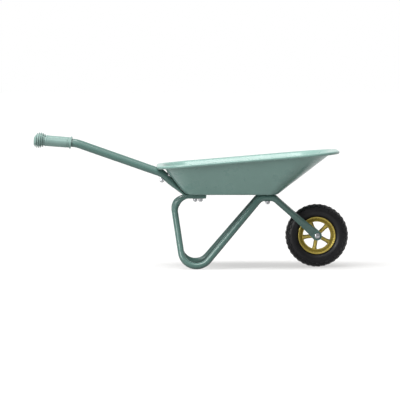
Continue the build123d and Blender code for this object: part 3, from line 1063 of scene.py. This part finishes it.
@dataclass
class Tyre:
    """The rubber tyre: smooth sidewalls, staggered shoulder lugs and a row of centre blocks."""

    rubber: Material
    centre: Vector
    pitches: int = 36
    steps_per_pitch: int = 5
    lug_height: float = 2.3
    crown_radius: float = 77.8
    block_half_width: float = 4.9
    shoulder_inner: float = 6.9
    long_lug_radius: float = 67.5
    short_lug_radius: float = 71.0

    def half_profile(self) -> Profile:
        """One side of the section, from the crown's middle to the bead, in millimetres.

        Returns:
            Points (distance from the middle plane, radius).
        """
        crown = [(0.0, self.crown_radius), (2.4, 77.75), (4.9, 77.5), (6.9, 77.1), (9.6, 76.35)]
        shoulder = [(12.2, 75.3), (14.5, 73.9), (16.4, 72.1), (17.7, 70.0), (18.5, 68.2)]
        wall = [(19.1, 66.6), (19.75, 64.3), (20.0, 61.6), (19.8, 58.6), (19.1, 55.6)]
        bead = [(18.0, 53.0), (16.9, 51.2), (16.5, 50.4), (15.9, 50.1), (15.2, 49.6)]
        return crown + shoulder + wall + bead + [(14.3, 48.2), (13.4, 47.0)]

    def lug_test(self) -> Callable[[Vector], bool]:
        """A test for the carcass faces that grow into lugs and blocks.

        Returns:
            A function that says whether the face at a place grows.
        """
        pitch = math.tau / self.pitches
        gap = 1.0 / self.steps_per_pitch

        def grows(middle: Vector) -> bool:
            """Whether a face is part of a lug or block.

            Args:
                middle: The face's middle.

            Returns:
                True if it grows.
            """
            arm = middle - self.centre
            turn = math.atan2(arm.z, arm.x) % math.tau
            across = abs(arm.y) / MM
            radius = math.hypot(arm.x, arm.z) / MM
            side_shift = 0.0 if arm.y > 0 else 0.5
            if across < self.block_half_width:
                share = (turn / pitch + 0.25) % 1.0
                return share > 2 * gap
            if across > self.shoulder_inner and radius > self.long_lug_radius:
                place = turn / pitch + side_shift
                share = place % 1.0
                is_long = int(place) % 2 == 0
                return share > 1.1 * gap and (radius > self.short_lug_radius or is_long)
            return False

        return grows

    def build(self) -> None:
        """Spin the carcass, raise the lugs from it and round their edges."""
        half = self.half_profile()
        profile = [(-along, radius) for along, radius in reversed(half)] + half[1:]
        profile += [(half[-1][0], 45.0), (-half[-1][0], 45.0)]
        steps = self.pitches * self.steps_per_pitch
        tyre = Workpiece.turned(
            "rubber_tyre", scaled(profile), self.centre, Vector((0, 1, 0)), steps, closed=True
        )
        with tyre.editing():
            tyre.pick("FACE", self.lug_test())
            bpy.ops.mesh.inset(
                thickness=0.55 * MM, depth=self.lug_height * MM, use_even_offset=True
            )
        tyre.soften(0.45 * MM, 2, 32)
        tyre.smooth(40)
        tyre.finish(Body.WHEEL, self.rubber, "black_tyre", ["tyre"])


@dataclass
class Rim:
    """The moulded wheel: a flanged barrel, five ridged spokes and a hub."""

    plastic: Material
    centre: Vector
    spoke_count: int = 5
    first_spoke: float = 44.0
    flange_radius: float = 47.5
    window_radius: float = 35.0
    hub_radius: float = 12.5
    hub_length: float = 40.0
    hub_bore: float = 6.2
    web: Pair = (10.0, 3.4)
    web_flare: float = 1.6
    web_round: float = 0.9
    ridge: Pair = (5.4, 12.0)
    ridge_flare: float = 1.25
    ridge_round: float = 1.4
    turn_steps: int = 96

    def barrel_profile(self) -> Profile:
        """The barrel's closed section: rounded flanges, a step, a cone and a window lip.

        Returns:
            Points (distance from the middle plane, radius), in millimetres.
        """
        half = [(5.0, self.window_radius)]
        half += [(6.0, self.window_radius + 0.4), (6.5, self.window_radius + 1.3)]
        half += [(6.3, self.window_radius + 2.2), (13.1, 43.4), (13.7, 44.3)]
        half += arc((14.9, self.flange_radius - 1.25), 1.2, 200, 360, 5)[:-1]
        half += arc((14.9, self.flange_radius - 1.2), 1.2, 0, 90, 4)
        half += [(13.4, self.flange_radius - 0.4), (13.1, 44.0)]
        return half + [(-along, radius) for along, radius in reversed(half)]

    def hub_profile(self) -> Profile:
        """The hub's closed section, with rounded ends and a bore.

        Returns:
            Points (distance from the middle plane, radius), in millimetres.
        """
        end = self.hub_length / 2
        half = [(end, self.hub_bore)] + arc((end - 1.2, self.hub_radius - 1.2), 1.2, 0, 90, 4)
        half += [(7.0, self.hub_radius + 0.6)]
        return half + [(-along, radius) for along, radius in reversed(half)]

    def spoke(self) -> Workpiece:
        """One spoke along +X from the hub: a thin web with a thick rounded ridge along it.

        Returns:
            The spoke, to be copied round the hub.
        """
        inner, outer = self.hub_radius - 3.0, self.window_radius + 3.5
        length = (outer - inner) * MM
        middle = self.centre + Vector(((inner + outer) / 2 * MM, 0, 0))
        bars = []
        for name, (width, depth), flare, rounding in (
            ("web", self.web, self.web_flare, self.web_round),
            ("ridge", self.ridge, self.ridge_flare, self.ridge_round),
        ):
            bar = Workpiece.block(name, (length, depth * MM, width * MM), middle)
            self.flare_end(bar, middle.x + length / 2, flare)
            bar.soften(rounding * MM, 3)
            bars.append(bar)
        bars[0].take_in(bars[1:])
        return bars[0]

    def flare_end(self, bar: Workpiece, end: float, flare: float) -> None:
        """Widen a bar in the wheel's plane as it nears the barrel.

        Args:
            bar: The bar, along X.
            end: The X of its outer end.
            flare: How much wider its outer end is.
        """
        with bar.editing():
            bpy.ops.mesh.select_all(action="SELECT")
            bpy.ops.mesh.subdivide(number_cuts=4)
            for step, share in ((0, 1.0), (1, 0.25)):
                cut = end - step * (self.window_radius + 6.5 - self.hub_radius) / 5 * MM
                bar.pick("VERT", lambda p, cut=cut: abs(p.x - cut) < OUTLINE_GAP)
                bpy.ops.transform.resize(
                    value=(1, 1, 1 + (flare - 1) * share), center_override=(end, 0, self.centre.z)
                )

    def build(self) -> None:
        """Turn the barrel and the hub and set the spokes between them."""
        axis = Vector((0, 1, 0))
        rim = Workpiece.turned(
            "spoked_rim", scaled(self.barrel_profile()), self.centre, axis, self.turn_steps, True
        )
        hub = Workpiece.turned(
            "hub", scaled(self.hub_profile()), self.centre, axis, self.turn_steps, True
        )
        model = self.spoke()
        spokes = []
        there, back = Matrix.Translation(self.centre), Matrix.Translation(-self.centre)
        for number in range(self.spoke_count):
            angle = math.radians(self.first_spoke + 360 * number / self.spoke_count)
            turn = there @ Matrix.Rotation(-angle, 4, "Y") @ back
            spokes.append(model.copy_turned(f"spoke_{number}", turn))
        bpy.data.objects.remove(model.obj)
        rim.take_in([hub, *spokes])
        rim.smooth(35)
        rim.finish(Body.WHEEL, self.plastic, "gold_rim", ["rim"])


# ---- carried-over CAD pieces


def dress(nodes: Sequence[str], material: Material) -> None:
    """Give CAD nodes that stay visible their finish.

    Args:
        nodes: The nodes' names.
        material: The finish.
    """
    for name in nodes:
        obj = frame["nodes"][name]
        for slot in obj.material_slots:
            slot.material = material
        log.info("%s: dressed with %s", name, material.name)


# ---- studio


@dataclass
class Studio:
    """A white floor and surround, a broad overhead light, a front softbox and the camera."""

    camera_place: Triple = (-0.13, -12.0, 0.62)
    camera_target: Triple = (0.0225, 0.0, 0.170)
    lens: float = 424.0
    floor_size: float = 60.0
    floor_lift: float = 0.46
    floor_mirrored: float = 0.30
    ceiling_glow: float = 0.85
    horizon_glow: float = 0.04
    backdrop_glow: float = 1.0
    overhead_direction: Triple = (-0.28, -0.30, 1.0)
    overhead_spread: float = 46.0
    overhead_strength: float = 4.3
    softbox_place: Triple = (-2.1, -2.6, 1.0)
    softbox_aim: Triple = (0, 0, 0.15)
    softbox_size: Pair = (0.5, 1.2)
    softbox_power: float = 58.0

    def aim(self, obj: bpy.types.Object, target: Sequence[float]) -> None:
        """Point a camera or lamp at a place."""
        obj.rotation_euler = (Vector(target) - obj.location).to_track_quat("-Z", "Y").to_euler()

    def floor(self) -> None:
        """A wide matt white floor, faintly mottled, whose shadows the camera sees lifted."""
        deselect_all()
        bpy.ops.mesh.primitive_plane_add(size=self.floor_size)
        floor = bpy.context.active_object
        floor.name = "studio_floor"
        recipe = Recipe("white_floor")
        recipe.colour(recipe.tints(recipe.noise(0.4), [(0.3, (0.30,) * 3), (0.7, (0.31,) * 3)]))
        recipe.fix(Roughness=0.9, Specular_IOR_Level=0.1, Emission_Color=(1, 0.985, 0.975, 1))
        rays = recipe.add("ShaderNodeLightPath")
        lift = recipe.add("ShaderNodeMath", operation="MULTIPLY_ADD")
        recipe.link(rays.outputs["Is Camera Ray"], lift.inputs[0])
        lift.inputs[1].default_value = self.floor_lift
        mirrored = recipe.spread(
            rays.outputs["Is Glossy Ray"], 0.0, self.floor_mirrored, (0.0, 1.0)
        )
        recipe.link(mirrored, lift.inputs[2])
        recipe.link(lift.outputs[0], recipe.shader.inputs["Emission Strength"])
        floor.data.materials.append(recipe.material)

    def surround(self) -> None:
        """A surround that looks white, with a lit ceiling and backdrop and a dim front."""
        world = bpy.data.worlds.new("white_surround")
        world.use_nodes = True
        nodes, links = world.node_tree.nodes, world.node_tree.links
        place = nodes.new("ShaderNodeTexCoord")
        direction = nodes.new("ShaderNodeSeparateXYZ")
        links.new(place.outputs["Generated"], direction.inputs["Vector"])

        def glow(axis: str, low: float, high: float) -> Socket:
            """A brightness that grows smoothly along one axis of the surround.

            Args:
                axis: The axis, X, Y or Z.
                low: The brightness on the near side.
                high: The brightness on the far side.

            Returns:
                The brightness.
            """
            node = nodes.new("ShaderNodeMapRange")
            node.interpolation_type = "SMOOTHSTEP"
            node.inputs["From Max"].default_value = 0.8
            node.inputs["To Min"].default_value = low
            node.inputs["To Max"].default_value = high
            links.new(direction.outputs[axis], node.inputs["Value"])
            return node.outputs["Result"]

        brightest = nodes.new("ShaderNodeMath")
        brightest.operation = "MAXIMUM"
        links.new(glow("Z", self.horizon_glow, self.ceiling_glow), brightest.inputs[0])
        links.new(glow("Y", self.horizon_glow, self.backdrop_glow), brightest.inputs[1])
        seen = nodes.new("ShaderNodeLightPath")
        strength = nodes.new("ShaderNodeMix")
        strength.inputs[3].default_value = 1.0
        links.new(seen.outputs["Is Camera Ray"], strength.inputs[0])
        links.new(brightest.outputs[0], strength.inputs[2])
        background = nodes["Background"]
        background.inputs["Color"].default_value = (1, 1, 1, 1)
        links.new(strength.outputs[0], background.inputs["Strength"])
        bpy.context.scene.world = world

    def lamp(self, name: str, kind: str, place: Triple, strength: float) -> bpy.types.Object:
        """A lamp at a place.

        Args:
            name: The lamp's name.
            kind: Its type, SUN or AREA.
            place: Where it hangs.
            strength: Watts per square metre for a sun and watts for an area.

        Returns:
            The lamp's object.
        """
        deselect_all()
        bpy.ops.object.light_add(type=kind, location=place)
        lamp = bpy.context.active_object
        lamp.name = name
        lamp.data.energy = strength
        return lamp

    def overhead(self) -> None:
        """The broad main light, from a direction above."""
        sun = self.lamp("overhead_light", "SUN", self.overhead_direction, self.overhead_strength)
        sun.data.angle = math.radians(self.overhead_spread)
        self.aim(sun, (0, 0, 0))

    def softbox(self) -> None:
        """The rectangular soft lamp in front, aimed at the barrow."""
        box = self.lamp("front_softbox", "AREA", self.softbox_place, self.softbox_power)
        box.data.shape = "RECTANGLE"
        box.data.size, box.data.size_y = self.softbox_size
        self.aim(box, self.softbox_aim)

    def build(self) -> None:
        """Set the floor, surround, lamps and camera."""
        self.floor()
        self.surround()
        self.overhead()
        self.softbox()
        bpy.context.scene.view_settings.view_transform = "Standard"
        bpy.ops.object.camera_add(location=self.camera_place)
        camera = bpy.context.active_object
        camera.name = "camera"
        camera.data.lens = self.lens
        self.aim(camera, self.camera_target)
        bpy.context.scene.camera = camera


def main() -> None:
    """Build every piece in order, dress the CAD pieces that stay, and set the studio."""
    tray_paint = SteelPaint("sage_tray_paint", (0.166, 0.282, 0.250)).make()
    # Painted shade: the tube paint is a much darker copy of the tray's sage paint, darkened to
    # stand in for the shade on the tubes under the tray and along their cores.
    tube_paint_with_painted_shade = SteelPaint("sage_tube_paint", (0.069, 0.138, 0.120), (0.22, 0.30), 1.8 * MM).make()
    grip_rubber = SoftGrip().make()
    gold = GoldMoulding().make()
    tyre_rubber = TyreRubber().make()
    zinc = ZincPlate().make()
    nylon = Nylon().make()

    wheel_centre = Vector(frame["joints"][0]["pos_m"])
    Tray(tray_paint).build()
    for side in Side:
        Grip(grip_rubber).build(side)
    Tyre(tyre_rubber, wheel_centre).build()
    Rim(gold, wheel_centre).build()

    metal = ("bolt", "nut", "washer", "spacer", "sleeve")
    names = sorted(frame["nodes"])
    dress([n for n in names if "_tube_" in n], tube_paint_with_painted_shade)
    dress([n for n in names if n.startswith("hub_bush")], nylon)
    dress([n for n in names if any(word in n for word in metal)], zinc)
    Studio().build()


if __name__ == "__main__":
    main()
